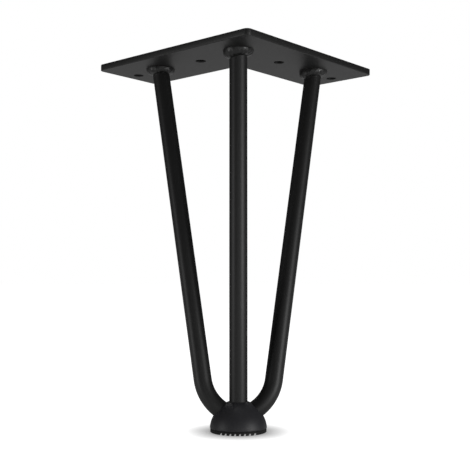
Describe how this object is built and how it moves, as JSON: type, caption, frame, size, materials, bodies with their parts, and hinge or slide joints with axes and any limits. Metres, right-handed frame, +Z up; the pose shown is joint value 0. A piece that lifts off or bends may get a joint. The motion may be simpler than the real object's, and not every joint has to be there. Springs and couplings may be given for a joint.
{
  "type": "hairpin table leg",
  "caption": "Short hairpin table leg: an L-shaped screw plate, a rod bent into a hairpin, a straight corner rod welded into its bend, and a domed anti-slip foot.",
  "frame": {"origin": "on the plate's top face, where the lines of screw holes of its two arms cross", "axes": "+X along one arm of the plate, +Y along the other, +Z up out of the plate's top face; the leg hangs below"},
  "size_m": [0.125, 0.125, 0.224],
  "materials": {
    "powder_coat_plate": "satin black powder coat on flat steel",
    "powder_coat_rod": "satin black powder coat on round bar",
    "powder_coat_weld": "satin black powder coat over weld beads",
    "foot_plastic": "fine matt black moulding",
    "sole_rubber": "matt black rubber"
  },
  "bodies": {
    "root": {"top_plate": "powder_coat_plate", "hairpin_rod": "powder_coat_rod", "corner_rod": "powder_coat_rod", "weld_corner": "powder_coat_weld", "weld_left": "powder_coat_weld", "weld_right": "powder_coat_weld", "rod_joint_weld": "powder_coat_weld", "foot_cup": "foot_plastic", "foot_sole": "sole_rubber"}
  },
  "joints": []
}
